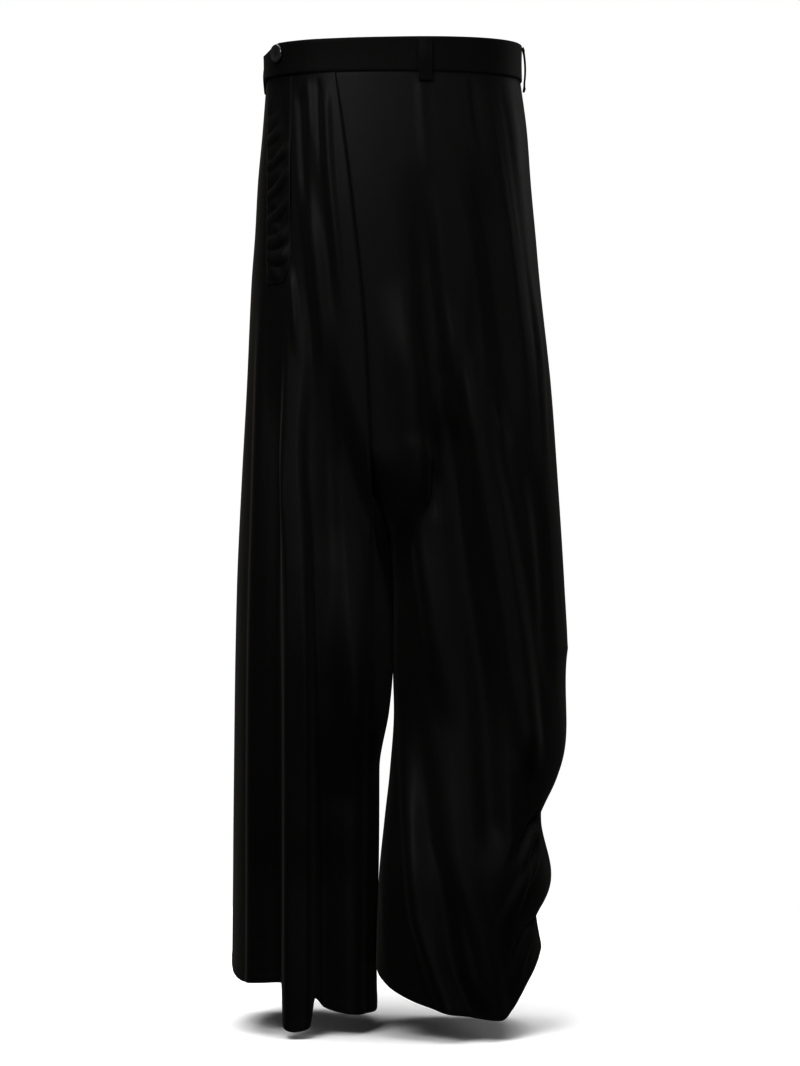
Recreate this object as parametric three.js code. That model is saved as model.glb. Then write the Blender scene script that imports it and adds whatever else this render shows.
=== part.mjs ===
// Draped satin trousers in the dhoti manner, hollow and filled out as if worn.
// Millimetres. X runs to the wearer's left, Y to the back, Z up.
// The origin is the middle of the waistband's ring, where the wearer holds the garment up.
import * as THREE from "three";

// Cloth and seams
const CLOTH = 1.5;
const SEAM_GAP = 0.36;
const SEAM_REACH = 0.01;
const BLACK = 0x0b0b0c;

// Waistband: one strip whose outer end buttons over its inner end on the wearer's right
const BAND_HEIGHT = 37;
const BAND_WALL = 2.6;
const BAND_RISE_TO_LEFT = 0.015;
const BAND_DIP = { depth: 9, from: 122, to: 141 };
const BAND_OVERLAP = { innerEnd: 0.235, rampFrom: 0.1, rampTo: 0.215, outerEnd: 0.44, step: 3.1 };

// Belt loops, by the side they are on and their share of the way round from centre front to centre back
const LOOP = { width: 15, wall: 1.4, standOff: 3, above: 1.5, below: 10, rows: 8 };
const LOOPS = [
  { name: "belt_loop_front", side: "left", round: 0.06 },
  { name: "belt_loop_left_side", side: "left", round: 0.5 },
  { name: "belt_loop_back_left", side: "left", round: 0.8 },
  { name: "belt_loop_back_right", side: "right", round: 0.8 },
  { name: "belt_loop_right_side", side: "right", round: 0.57 },
];

// Button of the waistband, sewn through four holes
const BUTTON = { round: 0.322, z: 5, radius: 10, thick: 2.6, bevel: 0.6, hole: 0.9, holeSpread: 2.5 };

// Section sizes of the whole garment: half-widths to the wearer's right and left, and depths
const TOP = -BAND_HEIGHT / 2 - SEAM_GAP;
const FULLNESS = 2.4;
const BODY = [
  { z: TOP, right: 138.5, left: 139.5, front: 100, back: 99 },
  { z: -76, right: 143, left: 147, front: 104, back: 110 },
  { z: -131, right: 148, left: 151, front: 107, back: 119 },
  { z: -186, right: 151, left: 156, front: 109, back: 124 },
  { z: -241, right: 155, left: 161, front: 110, back: 122 },
  { z: -351, right: 160, left: 173, front: 111, back: 114 },
  { z: -461, right: 166, left: 181, front: 112, back: 110 },
  { z: -571, right: 171, left: 188, front: 113, back: 109 },
  { z: -660, right: 173, left: 192, front: 114, back: 110 },
  { z: -760, right: 174.5, left: 188, front: 116, back: 113 },
  { z: -860, right: 176, left: 175, front: 118, back: 116 },
  { z: -960, right: 177, left: 165, front: 118, back: 118 },
  { z: -1050, right: 178, left: 160, front: 116, back: 118 },
];

// Below the cleft's top the tube divides, and where the cleft is deep its inner sides are the legs'. Further
// from the inseam than LEG_FORM's share of the way round, the legs' form runs from its top to the crotch.
// Beside the inseam the legs are fuller than an ellipse, by the power innerFullness of their depth.
// Inner sides of the legs, measured outwards from the middle, and how far the legs stand apart in depth.
const CLEFT_TOP = -430;
const CLEFT_DEEP = -640;
const CROTCH = -660;
const LEG_FORM = { top: -130, share: 0.22, innerFullness: 0.7 };
const INNER = [
  { z: -600, right: 1.1, left: 1.1, lean: 0 },
  { z: -660, right: 1.6, left: 1.6, lean: 0 },
  { z: -708, right: 4.4, left: 1.4, lean: 2 },
  { z: -775, right: 15.4, left: -3, lean: 8 },
  { z: -829, right: 15.6, left: -9, lean: 14 },
  { z: -900, right: 16.5, left: -15.6, lean: 22 },
  { z: -985, right: 18.5, left: -17.8, lean: 22 },
  { z: -1050, right: 18, left: -17.8, lean: 22 },
];

// Wrap pleat of the right front: its folded edge's place from the middle, how far the cloth is tucked back
// behind that edge, how far the edge stands forward, and how far across the cloth is lifted.
// The left front runs under it, and is joined to its tucked side.
const PLEAT_RADIUS_SHARE = 0.3;
const PLEAT_UNDERLAP = 3;
const PLEAT_OPENING = 140;
const PLEAT_SIDE_FADE = 0.12;
const PLEAT_STEEP_FROM = 0.3;
const PLEAT = [
  { z: TOP, edge: 62, tuck: 17, lift: 4.8, reach: 34 },
  { z: -75, edge: 54, tuck: 17, lift: 7, reach: 38 },
  { z: -162, edge: 43.5, tuck: 17.5, lift: 8.5, reach: 42 },
  { z: -293, edge: 30.5, tuck: 17.5, lift: 9, reach: 46 },
  { z: -430, edge: 24.4, tuck: 17, lift: 9.8, reach: 53 },
  { z: -500, edge: 22.6, tuck: 0, lift: 12, reach: 60 },
  { z: -560, edge: 21.2, tuck: 0, lift: 19, reach: 70 },
  { z: -634, edge: 20, tuck: 0, lift: 25, reach: 75 },
  { z: -700, edge: 18.5, tuck: 0, lift: 19, reach: 70 },
  { z: -760, edge: 18, tuck: 0, lift: 8, reach: 60 },
  { z: -800, edge: 19, tuck: 0, lift: 0, reach: 50 },
];

// Swags of the left leg's outer side, from tuck to tuck down the outline
const SWAG_SPREAD = 0.09;
const SWAGS = [
  { top: -640, bottom: -816, topX: 192, bottomX: 159, belly: 17, low: 1.6 },
  { top: -816, bottom: -929, topX: 159, bottomX: 156, belly: 15.5, low: 1.55 },
  { top: -929, bottom: -1010, topX: 156, bottomX: 150, belly: 9, low: 1.3 },
];

// Folds: height out of the cloth (troughs are negative), widths towards the inseam and the outer side,
// how far they take to rise and to fade (0 runs to the hem), growth from top to bottom, and route.
// Those of both faces run on round the side, and the rest end before the side seam.
// A route's places are X from the middle and Z. Flat folds have a level top and steep sides.
const FOLD_SIDE_FADE = 14;
const FOLDS = [
  // Left front, sweeping from the waist to the upper tuck
  { on: "left front", height: -9, inner: 28, outer: 26, rise: 120, fade: 60, grow: 1,
    route: [[24, -110], [42, -297], [58, -414], [78, -564], [104, -735], [148, -808]] },
  { on: "left front", height: 7, inner: 30, outer: 24, rise: 110, fade: 110, grow: 1,
    route: [[6, -230], [21, -372], [32, -506], [47, -611], [58, -725]] },
  { on: "left front", height: 10, inner: 22, outer: 26, rise: 150, fade: 60, grow: 1,
    route: [[60, -250], [88, -393], [113, -533], [129, -630], [147, -785]] },
  { on: "left front", height: -6, inner: 26, outer: 30, rise: 90, fade: 130, grow: 1,
    route: [[76, -95], [100, -174], [113, -264], [134, -440]] },
  { on: "left front", height: -5, inner: 22, outer: 22, rise: 80, fade: 90, grow: 1,
    route: [[150, -420], [163, -560], [168, -700]] },
  // Left front, below the knee
  { on: "left front", height: 9, inner: 20, outer: 16, rise: 120, fade: 0, grow: 1.3,
    route: [[14, -730], [21, -840], [28, -915], [44, -973], [60, -1020]] },
  { on: "left front", height: -8, inner: 16, outer: 22, rise: 130, fade: 0, grow: 1.1,
    route: [[24, -700], [38, -840], [50, -890], [66, -981], [86, -1025]] },
  { on: "left front", height: 5, inner: 20, outer: 22, rise: 90, fade: 0, grow: 1.2,
    route: [[66, -800], [76, -880], [98, -960], [112, -1030]] },
  { on: "left front", height: -6, inner: 20, outer: 20, rise: 60, fade: 90, grow: 1,
    route: [[103, -757], [103, -810], [112, -890]] },
  { on: "left both", height: -7, inner: 15, outer: 15, rise: 14, fade: 60, grow: 1,
    route: [[157, -812], [143, -838], [118, -885]] },
  { on: "left both", height: 6, inner: 18, outer: 18, rise: 30, fade: 70, grow: 1,
    route: [[160, -852], [140, -888], [112, -950]] },
  { on: "left both", height: -6, inner: 15, outer: 15, rise: 14, fade: 50, grow: 1,
    route: [[154, -926], [138, -948], [118, -992]] },
  // Right front, down from the waist seam and the long pleat that hangs below the hem
  { on: "right front", height: 3.5, inner: 9, outer: 12, rise: 40, fade: 120, grow: 1,
    route: [[72, -24], [69, -104], [60, -207], [52, -300]] },
  { on: "right front", height: 5, inner: 14, outer: 18, rise: 90, fade: 110, grow: 1,
    route: [[94, -120], [80, -243], [74, -311], [80, -400]] },
  { on: "right front", height: 11, inner: 17, outer: 17, rise: 330, fade: 0, grow: 1.75, flat: 0.5,
    route: [[110, -190], [104, -325], [108, -425], [103, -533], [101, -640], [102, -1050]] },
  { on: "right front", height: -9, inner: 18, outer: 15, rise: 240, fade: 0, grow: 1.5,
    route: [[82, -450], [80, -586], [76, -686], [74, -800], [72, -1050]] },
  { on: "right front", height: -6, inner: 17, outer: 17, rise: 90, fade: 180, grow: 1,
    route: [[69, -350], [67, -479], [62, -560], [58, -700], [52, -860]] },
  { on: "right front", height: 6, inner: 26, outer: 20, rise: 160, fade: 0, grow: 1.3,
    route: [[44, -540], [42, -700], [44, -1050]] },
  { on: "right front", height: -5, inner: 16, outer: 20, rise: 110, fade: 0, grow: 1.4,
    route: [[124, -300], [126, -480], [127, -640], [127, -1050]] },
  { on: "right front", height: 4, inner: 16, outer: 16, rise: 120, fade: 0, grow: 1.6,
    route: [[140, -220], [146, -440], [151, -700], [152, -1050]] },
  // Left back
  { on: "left back", height: -6, inner: 26, outer: 26, rise: 140, fade: 120, grow: 1,
    route: [[120, -200], [140, -480], [146, -780]] },
  { on: "left back", height: 8, inner: 26, outer: 30, rise: 180, fade: 0, grow: 1,
    route: [[84, -260], [108, -560], [106, -1020]] },
  { on: "left back", height: -8, inner: 24, outer: 26, rise: 160, fade: 0, grow: 1.2,
    route: [[52, -240], [68, -560], [70, -1020]] },
  { on: "left back", height: 8, inner: 22, outer: 24, rise: 190, fade: 0, grow: 1.2,
    route: [[26, -380], [34, -700], [30, -1020]] },
  // Right back
  { on: "right back", height: 7, inner: 24, outer: 26, rise: 170, fade: 0, grow: 1.3,
    route: [[126, -250], [138, -560], [142, -1050]] },
  { on: "right back", height: -8, inner: 24, outer: 22, rise: 170, fade: 0, grow: 1.3,
    route: [[98, -300], [112, -620], [114, -1050]] },
  { on: "right back", height: 9, inner: 22, outer: 24, rise: 200, fade: 0, grow: 1.3,
    route: [[68, -270], [82, -640], [84, -1050]] },
  { on: "right back", height: -8, inner: 22, outer: 22, rise: 180, fade: 0, grow: 1.2,
    route: [[38, -400], [52, -700], [54, -1050]] },
];

// Hems, by share of the way round each leg from its inseam and back to it
const HEM = {
  right: [
    { round: 0, z: -1036 }, { round: 0.11, z: -1034 }, { round: 0.15, z: -1032 },
    { round: 0.19, z: -1026 }, { round: 0.222, z: -1014 }, { round: 0.236, z: -1044 },
    { round: 0.262, z: -1048 }, { round: 0.284, z: -1044 }, { round: 0.297, z: -998 },
    { round: 0.44, z: -997 }, { round: 0.5, z: -990 }, { round: 0.62, z: -1000 },
    { round: 0.75, z: -1006 }, { round: 0.9, z: -1022 }, { round: 1, z: -1036 },
  ],
  left: [
    { round: 0, z: -983 }, { round: 0.08, z: -998 }, { round: 0.16, z: -1014 },
    { round: 0.22, z: -1023 }, { round: 0.27, z: -1029 }, { round: 0.325, z: -1033 },
    { round: 0.35, z: -1027 }, { round: 0.385, z: -1008 }, { round: 0.42, z: -988 },
    { round: 0.46, z: -969 }, { round: 0.5, z: -966 }, { round: 0.6, z: -984 },
    { round: 0.75, z: -1000 }, { round: 0.9, z: -992 }, { round: 1, z: -983 },
  ],
};

// Buttoned fly on the wearer's right hip, puckered along its length and sewn flat along both its sides
const FLY = { inner: 109, outer: 135, top: -20, corner: -205, bottom: -246, cornerShare: 0.4, wall: 1.2, gap: 0.8 };
const FLY_SEWN = { inner: 0.25, outer: 0.2 };
const PUCKER_WIDTH = 8;
const PUCKERS = [
  { z: -42, height: 1.2, tilt: 22 }, { z: -68, height: 2.2, tilt: 26 },
  { z: -94, height: 2.4, tilt: -14 }, { z: -116, height: 2.2, tilt: 24 },
  { z: -139, height: 2.6, tilt: 10 }, { z: -163, height: 2.2, tilt: 20 },
  { z: -189, height: 2.4, tilt: -24 }, { z: -215, height: 2, tilt: 12 },
];

// How finely each panel is divided: levels down the cloth, and columns across it
const HEM_ZONE = -860;
const DIVISIONS = {
  right: { upper: 18, lower: 5 },
  left: { upper: 20, lower: 8 },
};
const RETURN_STEPS = 3;
const ROLL_STEPS = 4;
const FRONT_COLUMNS = {
  right: [{ to: 0.2, count: 8 }, { to: 0.31, count: 13 }, { to: 0.5, count: 8 }],
  left: [{ to: 0.36, count: 22 }, { to: 0.5, count: 8 }],
};
const BACK_COLUMNS = { right: 16, left: 16 };

const clamp = (value, low, high) => Math.min(high, Math.max(low, value));
const mix = (a, b, share) => a + (b - a) * share;
const ease = (share) => {
  const q = clamp(share, 0, 1);
  return q * q * (3 - 2 * q);
};

// Value of a table's column between its rows, without overshoot
function between(rows, by, key, at) {
  const falling = rows[0][by] > rows[rows.length - 1][by] ? -1 : 1;
  const place = (row) => row[by] * falling;
  const x = at * falling;
  if (x <= place(rows[0])) return rows[0][key];
  const last = rows.length - 1;
  if (x >= place(rows[last])) return rows[last][key];
  let i = 0;
  while (x > place(rows[i + 1])) i++;
  const slope = (k) => (rows[k + 1][key] - rows[k][key]) / (place(rows[k + 1]) - place(rows[k]));
  const tangent = (k) => {
    if (k === 0 || k === last) return slope(Math.min(k, last - 1));
    const [a, b] = [slope(k - 1), slope(k)];
    return a * b <= 0 ? 0 : (2 * a * b) / (a + b);
  };
  const width = place(rows[i + 1]) - place(rows[i]);
  const q = (x - place(rows[i])) / width;
  return (
    rows[i][key] * (1 + 2 * q) * (1 - q) ** 2 + tangent(i) * width * q * (1 - q) ** 2 +
    rows[i + 1][key] * q * q * (3 - 2 * q) + tangent(i + 1) * width * q * q * (q - 1)
  );
}

const sign = { right: -1, left: 1 };

// How far the swags push the left leg's outer side in or out
function swagPush(z) {
  for (const { top, bottom, topX, bottomX, belly, low } of SWAGS) {
    if (z > top || z < bottom) continue;
    const q = (top - z) / (top - bottom);
    return mix(topX, bottomX, q) + belly * Math.sin(Math.PI * q ** low) - between(BODY, "z", "left", z);
  }
  return z > SWAGS[0].top ? 0 : SWAGS[SWAGS.length - 1].bottomX - between(BODY, "z", "left", z);
}

// Plain cloth with no folds: round is 0 at centre front, 0.5 at the side and 1 at centre back
function plain(side, round, z) {
  const depth = (forward) => between(BODY, "z", forward > 0 ? "front" : "back", z);
  const outer = between(BODY, "z", side, z);
  const inner = between(INNER, "z", side, z);
  const power = 2 / FULLNESS;
  const hip = Math.PI * round;
  const hipX = Math.sign(Math.sin(hip)) * outer * Math.abs(Math.sin(hip)) ** power;
  const hipY = -depth(Math.cos(hip)) * Math.sign(Math.cos(hip)) * Math.abs(Math.cos(hip)) ** power;
  const leg = 2 * Math.PI * round;
  const legX = (outer + inner) / 2 - ((outer - inner) / 2) * Math.cos(leg);
  const fullness = mix(LEG_FORM.innerFullness, 1, ease(2 * Math.min(Math.abs(round), 1 - round)));
  const turn = Math.sign(Math.sin(leg)) * Math.abs(Math.sin(leg)) ** fullness;
  const legY = -depth(Math.sin(leg)) * turn - sign[side] * between(INNER, "z", "lean", z);
  const start = mix(CLEFT_TOP, LEG_FORM.top, ease(Math.min(Math.abs(round), 1 - round) / LEG_FORM.share));
  const end = mix(CLEFT_DEEP, CROTCH, ease(Math.min(Math.abs(round), 1 - round) / LEG_FORM.share));
  const legs = ease((start - z) / (start - end));
  let x = mix(hipX, legX, legs);
  if (side === "left") x += swagPush(z) * Math.exp(-(((round - 0.5) / SWAG_SPREAD) ** 2));
  return new THREE.Vector3(sign[side] * x, mix(hipY, legY, legs), z);
}

// The share of the way round at which plain cloth stands x out from the middle
function roundAt(side, x, z, back = false) {
  let [low, high] = [0, 0.5];
  for (let i = 0; i < 24; i++) {
    const middle = (low + high) / 2;
    const found = plain(side, back ? 1 - middle : middle, z).x * sign[side];
    if (found < x) low = middle;
    else high = middle;
  }
  return back ? 1 - low : low;
}

// Level directions of the plain cloth: along it towards the back, and out of it
function directions(side, round, z) {
  const step = 0.002;
  const run = plain(side, round + step, z).sub(plain(side, round - step, z)).setZ(0);
  const speed = run.length() / (2 * step);
  run.normalize();
  const out = new THREE.Vector3(run.y, -run.x, 0).multiplyScalar(sign[side]);
  return { run, out, speed };
}

// Height of all folds at a place on the cloth
function foldHeight(side, round, z) {
  const atSide = ease((Math.abs(round - 0.5) * directions(side, round, z).speed) / FOLD_SIDE_FADE);
  let total = 0;
  for (const fold of FOLDS) {
    const [foldSide, face] = fold.on.split(" ");
    const places = fold.route.map(([x, level]) => ({ x, z: level }));
    const [first, last] = [places[0].z, places[places.length - 1].z];
    if (foldSide !== side || z > first || (fold.fade && z < last)) continue;
    const middle = roundAt(side, between(places, "z", "x", z), z, face === "back");
    const place = face === "both" ? Math.min(round, 1 - round) : round;
    const away = (place - middle) * directions(side, middle, z).speed * (face === "back" ? -1 : 1);
    const width = away < 0 ? fold.inner : fold.outer;
    const q = (Math.abs(away) / width - (fold.flat ?? 0)) / (1 - (fold.flat ?? 0));
    if (q >= 1) continue;
    const length = ease((first - z) / fold.rise) * (fold.fade ? ease((z - last) / fold.fade) : 1);
    const growth = mix(1, fold.grow, (first - z) / (first - last));
    const height = fold.height * growth * length * Math.cos((Math.PI / 2) * Math.max(q, 0)) ** 2;
    total += face === "both" ? height : height * atSide;
  }
  return total;
}

// Middle of the cloth's wall, folds and all, without the wrap pleat
function draped(side, round, z) {
  const { out } = directions(side, clamp(round, 0.002, 0.998), z);
  return plain(side, round, z).addScaledVector(out, foldHeight(side, round, z));
}

// The wrap pleat's sizes at a level, and its forward lift at a share of the way round
function pleatAt(z) {
  const size = (key) => between(PLEAT, "z", key, z);
  const edge = roundAt("right", size("edge"), z);
  const radius = size("lift") * PLEAT_RADIUS_SHARE;
  const start = edge + radius / directions("right", edge, z).speed;
  const opened = ease((CLEFT_TOP - z) / PLEAT_OPENING);
  const seam = roundAt("right", size("edge") + size("tuck"), z);
  return { start, radius, opened, seam, edgeX: size("edge"), lift: size("lift"), reach: size("reach") };
}

// Middle of the right front's wall beyond the wrap pleat's folded edge
function rightFront(round, z) {
  const { edgeX, lift, reach } = pleatAt(z);
  const away = (-plain("right", round, z).x - edgeX) / reach;
  const point = draped("right", round, z);
  if (round <= 0.5) point.y -= lift * Math.exp(-(away ** 2)) * ease((0.5 - round) / PLEAT_SIDE_FADE);
  return point;
}

// The wrap pleat's hidden side, from its seam (0) round the roll of its folded edge (1)
function pleatReturn(share, z) {
  const { start, radius, lift, opened, seam } = pleatAt(z);
  const step = share * (RETURN_STEPS + ROLL_STEPS);
  let rolled;
  if (step <= RETURN_STEPS) {
    rolled = draped("right", mix(seam, start, step / RETURN_STEPS), z);
    rolled.y -= lift - 2 * radius;
  } else {
    const edge = draped("right", start, z);
    const turn = (Math.PI * (step - RETURN_STEPS)) / ROLL_STEPS;
    rolled = edge.clone();
    rolled.x += radius * Math.sin(turn);
    rolled.y -= lift - radius - radius * Math.cos(turn);
  }
  const steep = draped("right", mix(besideSeam("right", 0, 1, z), start, share), z);
  steep.y -= lift * ease((share - PLEAT_STEEP_FROM) / (1 - PLEAT_STEEP_FROM));
  return rolled.lerp(steep, opened);
}

// Levels of a leg's cloth from the waist seam to its hem, which isn't level
function levels(side) {
  const { upper, lower } = DIVISIONS[side];
  const above = Array.from({ length: upper }, (_, i) => () => mix(TOP, HEM_ZONE, i / upper));
  const below = Array.from({ length: lower + 1 }, (_, i) => (hem) => mix(HEM_ZONE, hem, i / lower));
  return [...above, ...below];
}

// Turns a grid of points, rows by columns, into a closed wall that thick, half on each side.
// Each of its quads is split along the diagonal on which the cloth bends less.
function wall(grid, thickness, outwards) {
  const [rows, columns] = [grid.length, grid[0].length];
  const at = (i, j) => grid[clamp(i, 0, rows - 1)][clamp(j, 0, columns - 1)];
  const faces = { outer: [], inner: [] };
  for (let i = 0; i < rows; i++) {
    for (let j = 0; j < columns; j++) {
      const across = at(i, j + 1).clone().sub(at(i, j - 1));
      const down = at(i + 1, j).clone().sub(at(i - 1, j));
      const normal = down.cross(across).normalize().multiplyScalar((outwards * thickness) / 2);
      faces.outer.push(at(i, j).clone().add(normal));
      faces.inner.push(at(i, j).clone().sub(normal));
    }
  }
  const points = [...faces.outer, ...faces.inner];
  const index = [];
  const inside = rows * columns;
  // Two triangles that share the edge from the first corner to the third
  const quad = (a, b, c, d) => {
    if (outwards > 0) index.push(a, b, c, a, c, d);
    else index.push(a, c, b, a, d, c);
  };
  const id = (i, j) => i * columns + j;
  for (let i = 0; i < rows - 1; i++) {
    for (let j = 0; j < columns - 1; j++) {
      const [a, b, c, d] = [id(i, j), id(i + 1, j), id(i + 1, j + 1), id(i, j + 1)];
      const [e, f, g, h] = [a, b, c, d].map((corner) => corner + inside);
      const bendDown = at(i - 1, j - 1).clone().add(at(i + 2, j + 2)).sub(at(i, j)).sub(at(i + 1, j + 1));
      const bendUp = at(i + 2, j - 1).clone().add(at(i - 1, j + 2)).sub(at(i + 1, j)).sub(at(i, j + 1));
      if (bendDown.length() < bendUp.length()) {
        quad(a, b, c, d);
        quad(g, f, e, h);
      } else {
        quad(b, c, d, a);
        quad(f, e, h, g);
      }
    }
  }
  const rim = [];
  for (let j = 0; j < columns - 1; j++) rim.push([id(0, j), id(0, j + 1)]);
  for (let i = 0; i < rows - 1; i++) rim.push([id(i, columns - 1), id(i + 1, columns - 1)]);
  for (let j = columns - 1; j > 0; j--) rim.push([id(rows - 1, j), id(rows - 1, j - 1)]);
  for (let i = rows - 1; i > 0; i--) rim.push([id(i, 0), id(i - 1, 0)]);
  for (const [a, b] of rim) quad(a, b, inside + b, inside + a);
  const geometry = new THREE.BufferGeometry();
  geometry.setAttribute("position", new THREE.Float32BufferAttribute(points.flatMap((p) => p.toArray()), 3));
  geometry.setIndex(index);
  geometry.computeVertexNormals();
  return geometry;
}

// Shares of the way round at which a panel has its columns
function columnsFrom(from, spans) {
  const found = [from];
  for (const { to, count } of spans) {
    const start = found[found.length - 1];
    for (let i = 1; i <= count; i++) found.push(mix(start, to, i / count));
  }
  return found;
}

// The share of the way round that leaves half of a seam's gap, on one side of the seam (-1 or 1)
function besideSeam(side, seam, towards, z) {
  const edge = plain(side, seam, z);
  let [low, high] = [0, SEAM_REACH];
  for (let i = 0; i < 20; i++) {
    const middle = (low + high) / 2;
    if (plain(side, seam + towards * middle, z).distanceTo(edge) < SEAM_GAP / 2) low = middle;
    else high = middle;
  }
  return seam + towards * high;
}

function frontRightGrid() {
  return levels("right").map((level) => {
    const place = (round) => level(between(HEM.right, "round", "z", clamp(round, 0, 1)));
    const { start } = pleatAt(place(0));
    const hidden = Array.from({ length: RETURN_STEPS + ROLL_STEPS }, (_, i) => {
      const share = i / (RETURN_STEPS + ROLL_STEPS);
      return pleatReturn(share, place(start * share));
    });
    const shown = columnsFrom(start, FRONT_COLUMNS.right).map((round) => {
      const z = place(round);
      return rightFront(round === 0.5 ? besideSeam("right", 0.5, -1, z) : round, z);
    });
    return [...hidden, ...shown];
  });
}

function frontLeftGrid() {
  return levels("left").map((level) => {
    const place = (round) => level(between(HEM.left, "round", "z", clamp(round, 0, 1)));
    const { opened } = pleatAt(place(0));
    const under = opened < 1 ? -pleatReturn(0, place(0)).x - mix(PLEAT_UNDERLAP, SEAM_GAP, opened) : 0;
    const first = under > 0 ? -roundAt("left", under, place(0)) : besideSeam("left", 0, 1, place(0));
    return columnsFrom(first, FRONT_COLUMNS.left).map((round) => {
      const z = place(round);
      return draped("left", round === 0.5 ? besideSeam("left", 0.5, -1, z) : round, z);
    });
  });
}

function backGrid(side) {
  return levels(side).map((level) =>
    columnsFrom(0.5, [{ to: 1, count: BACK_COLUMNS[side] }]).map((round) => {
      const z = level(between(HEM[side], "round", "z", round));
      if (round === 0.5) return draped(side, besideSeam(side, 0.5, 1, z), z);
      if (round === 1) return draped(side, besideSeam(side, 1, -1, z), z);
      return draped(side, round, z);
    }),
  );
}

// The fly lies on the right front: its points are the panel's, moved out
function flyGrid() {
  const [rows, columns] = [26, 7];
  const offset = CLOTH / 2 + FLY.gap + FLY.wall / 2;
  return Array.from({ length: rows + 1 }, (_, i) =>
    Array.from({ length: columns + 1 }, (_, j) => {
      const across = j / columns;
      const turned = 1 - clamp(across / FLY.cornerShare, 0, 1);
      const bottom = FLY.corner + (FLY.bottom - FLY.corner) * Math.sqrt(1 - turned ** 2);
      const z = mix(FLY.top, bottom, i / rows);
      const inner = roundAt("right", FLY.inner, z);
      const outer = roundAt("right", FLY.outer, z);
      const round = mix(inner, outer, across);
      const { out } = directions("right", round, z);
      let pucker = 0;
      for (const { z: middle, height, tilt } of PUCKERS) {
        const away = Math.abs(z - middle - tilt * (across - 0.5)) / PUCKER_WIDTH;
        if (away < 1) pucker += height * Math.cos((Math.PI / 2) * away) ** 2;
      }
      const free = ease(across / FLY_SEWN.inner) * ease((1 - across) / FLY_SEWN.outer);
      return rightFront(round, z).addScaledVector(out, offset + pucker * free);
    }),
  );
}

// Level ring of the waist, by side and share of the way round, moved out
function waist(side, round, offset, z) {
  const { out } = directions(side, clamp(round, 0.002, 0.998), TOP);
  return plain(side, round, TOP).addScaledVector(out, offset).setZ(z);
}

function bandTop(point) {
  const dip = ease((-point.x - BAND_DIP.from) / (BAND_DIP.to - BAND_DIP.from));
  return BAND_HEIGHT / 2 + BAND_RISE_TO_LEFT * point.x - BAND_DIP.depth * dip;
}

// The band starts under the buttoned end, goes round the back, and ends over its own start
function bandGrid() {
  const { innerEnd, rampFrom, rampTo, outerEnd, step } = BAND_OVERLAP;
  const stations = [];
  const run = (side, from, to, count) => {
    for (let i = 0; i < count; i++) stations.push({ side, round: mix(from, to, i / count), over: false });
  };
  run("right", innerEnd, 1, 26);
  run("left", 1, 0, 36);
  const front = 18;
  for (let i = 0; i <= front; i++) {
    stations.push({ side: "right", round: mix(0, outerEnd, i / front), over: true });
  }
  return [0, 1].map((down) =>
    stations.map(({ side, round, over }) => {
      const offset = over ? step * ease((round - rampFrom) / (rampTo - rampFrom)) : 0;
      const low = waist(side, round, offset, -BAND_HEIGHT / 2);
      return low.setZ(mix(bandTop(low), -BAND_HEIGHT / 2, down));
    }),
  );
}

function loopGrid({ side, round }) {
  const rows = LOOP.rows;
  const { out, run } = directions(side, round, TOP);
  const top = bandTop(plain(side, round, TOP)) - LOOP.above;
  const bottom = -BAND_HEIGHT / 2 - LOOP.below;
  return Array.from({ length: rows + 1 }, (_, i) => {
    const q = i / rows;
    const z = mix(top, bottom, q);
    const off = BAND_WALL / 2 + SEAM_GAP + LOOP.wall / 2 + LOOP.standOff * Math.sin(Math.PI * q) ** 0.7;
    const middle = plain(side, round, Math.min(z, TOP)).addScaledVector(out, off).setZ(z);
    return [-0.5, 0.5].map((across) => middle.clone().addScaledVector(run, across * LOOP.width));
  });
}

function buttonGeometry() {
  const disc = new THREE.Shape().absarc(0, 0, BUTTON.radius - BUTTON.bevel, 0, 2 * Math.PI);
  for (const [x, y] of [[1, 0], [0, 1], [-1, 0], [0, -1]]) {
    const hole = new THREE.Path();
    hole.absarc(x * BUTTON.holeSpread, y * BUTTON.holeSpread, BUTTON.hole + BUTTON.bevel, 0, 2 * Math.PI, true);
    disc.holes.push(hole);
  }
  return new THREE.ExtrudeGeometry(disc, {
    depth: BUTTON.thick - 2 * BUTTON.bevel,
    bevelThickness: BUTTON.bevel,
    bevelSize: BUTTON.bevel,
    bevelSegments: 1,
    curveSegments: 8,
  });
}

const satin = new THREE.MeshStandardMaterial({ color: BLACK, roughness: 0.35, metalness: 0 });
const horn = new THREE.MeshStandardMaterial({ color: 0x202021, roughness: 0.3, metalness: 0 });

const trousers = new THREE.Group();
function add(name, geometry, material = satin) {
  const mesh = new THREE.Mesh(geometry, material);
  mesh.name = name;
  trousers.add(mesh);
  return mesh;
}

add("front_right_leg", wall(frontRightGrid(), CLOTH, -1));
add("front_left_leg", wall(frontLeftGrid(), CLOTH, 1));
add("back_right_leg", wall(backGrid("right"), CLOTH, -1));
add("back_left_leg", wall(backGrid("left"), CLOTH, 1));
add("side_fly", wall(flyGrid(), FLY.wall, -1));
add("waistband", wall(bandGrid(), BAND_WALL, -1));
for (const loop of LOOPS) add(loop.name, wall(loopGrid(loop), LOOP.wall, sign[loop.side]));

const button = add("waist_button", buttonGeometry(), horn);
const { out: buttonOut } = directions("right", BUTTON.round, TOP);
const buttonOffset = BAND_OVERLAP.step + BAND_WALL / 2 + SEAM_GAP + BUTTON.bevel;
button.position.copy(waist("right", BUTTON.round, buttonOffset, BUTTON.z));
button.quaternion.setFromUnitVectors(new THREE.Vector3(0, 0, 1), buttonOut);

export default trousers;
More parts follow.
